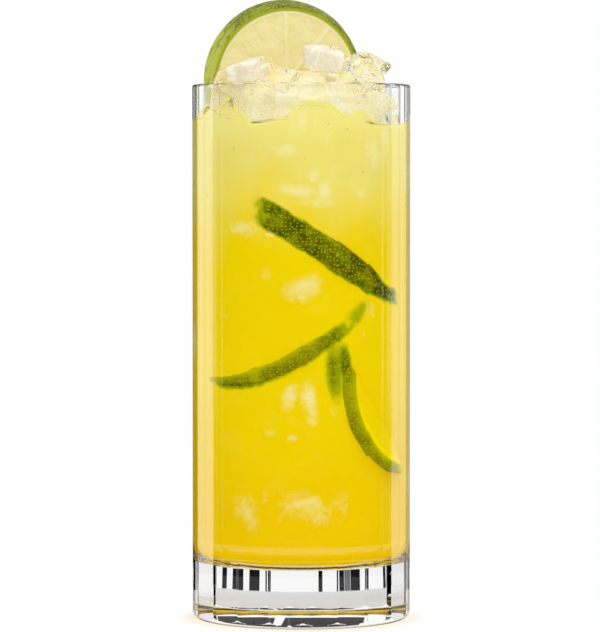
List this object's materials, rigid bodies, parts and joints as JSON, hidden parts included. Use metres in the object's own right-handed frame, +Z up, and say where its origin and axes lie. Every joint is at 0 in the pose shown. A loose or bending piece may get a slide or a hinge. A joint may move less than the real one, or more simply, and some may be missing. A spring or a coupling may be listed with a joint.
{
  "type": "gin smash in a tall glass",
  "caption": "Tall straight tumbler with flat upright panels and a thick base, filled with a cloudy yellow drink, a heap of crushed ice and a standing wheel of lime.",
  "frame": {"origin": "middle of the ring that the tumbler stands on", "axes": "+Z up along the tumbler's axis, the lime wheel's shown face looks towards -Y"},
  "size_m": [0.062, 0.062, 0.1761],
  "materials": {
    "glass": "clear, polished, flat panels with crisp edges",
    "drink": "cloudy bright yellow, wet",
    "ice": "wet crushed ice, frosted and clear lumps with a yellow cast",
    "lime": "pitted dark green peel, pale yellow wet flesh"
  },
  "bodies": {
    "root": {"glass": "glass", "drink": "drink", "crushed_ice": "ice", "lime_wheel": "lime"}
  },
  "joints": []
}
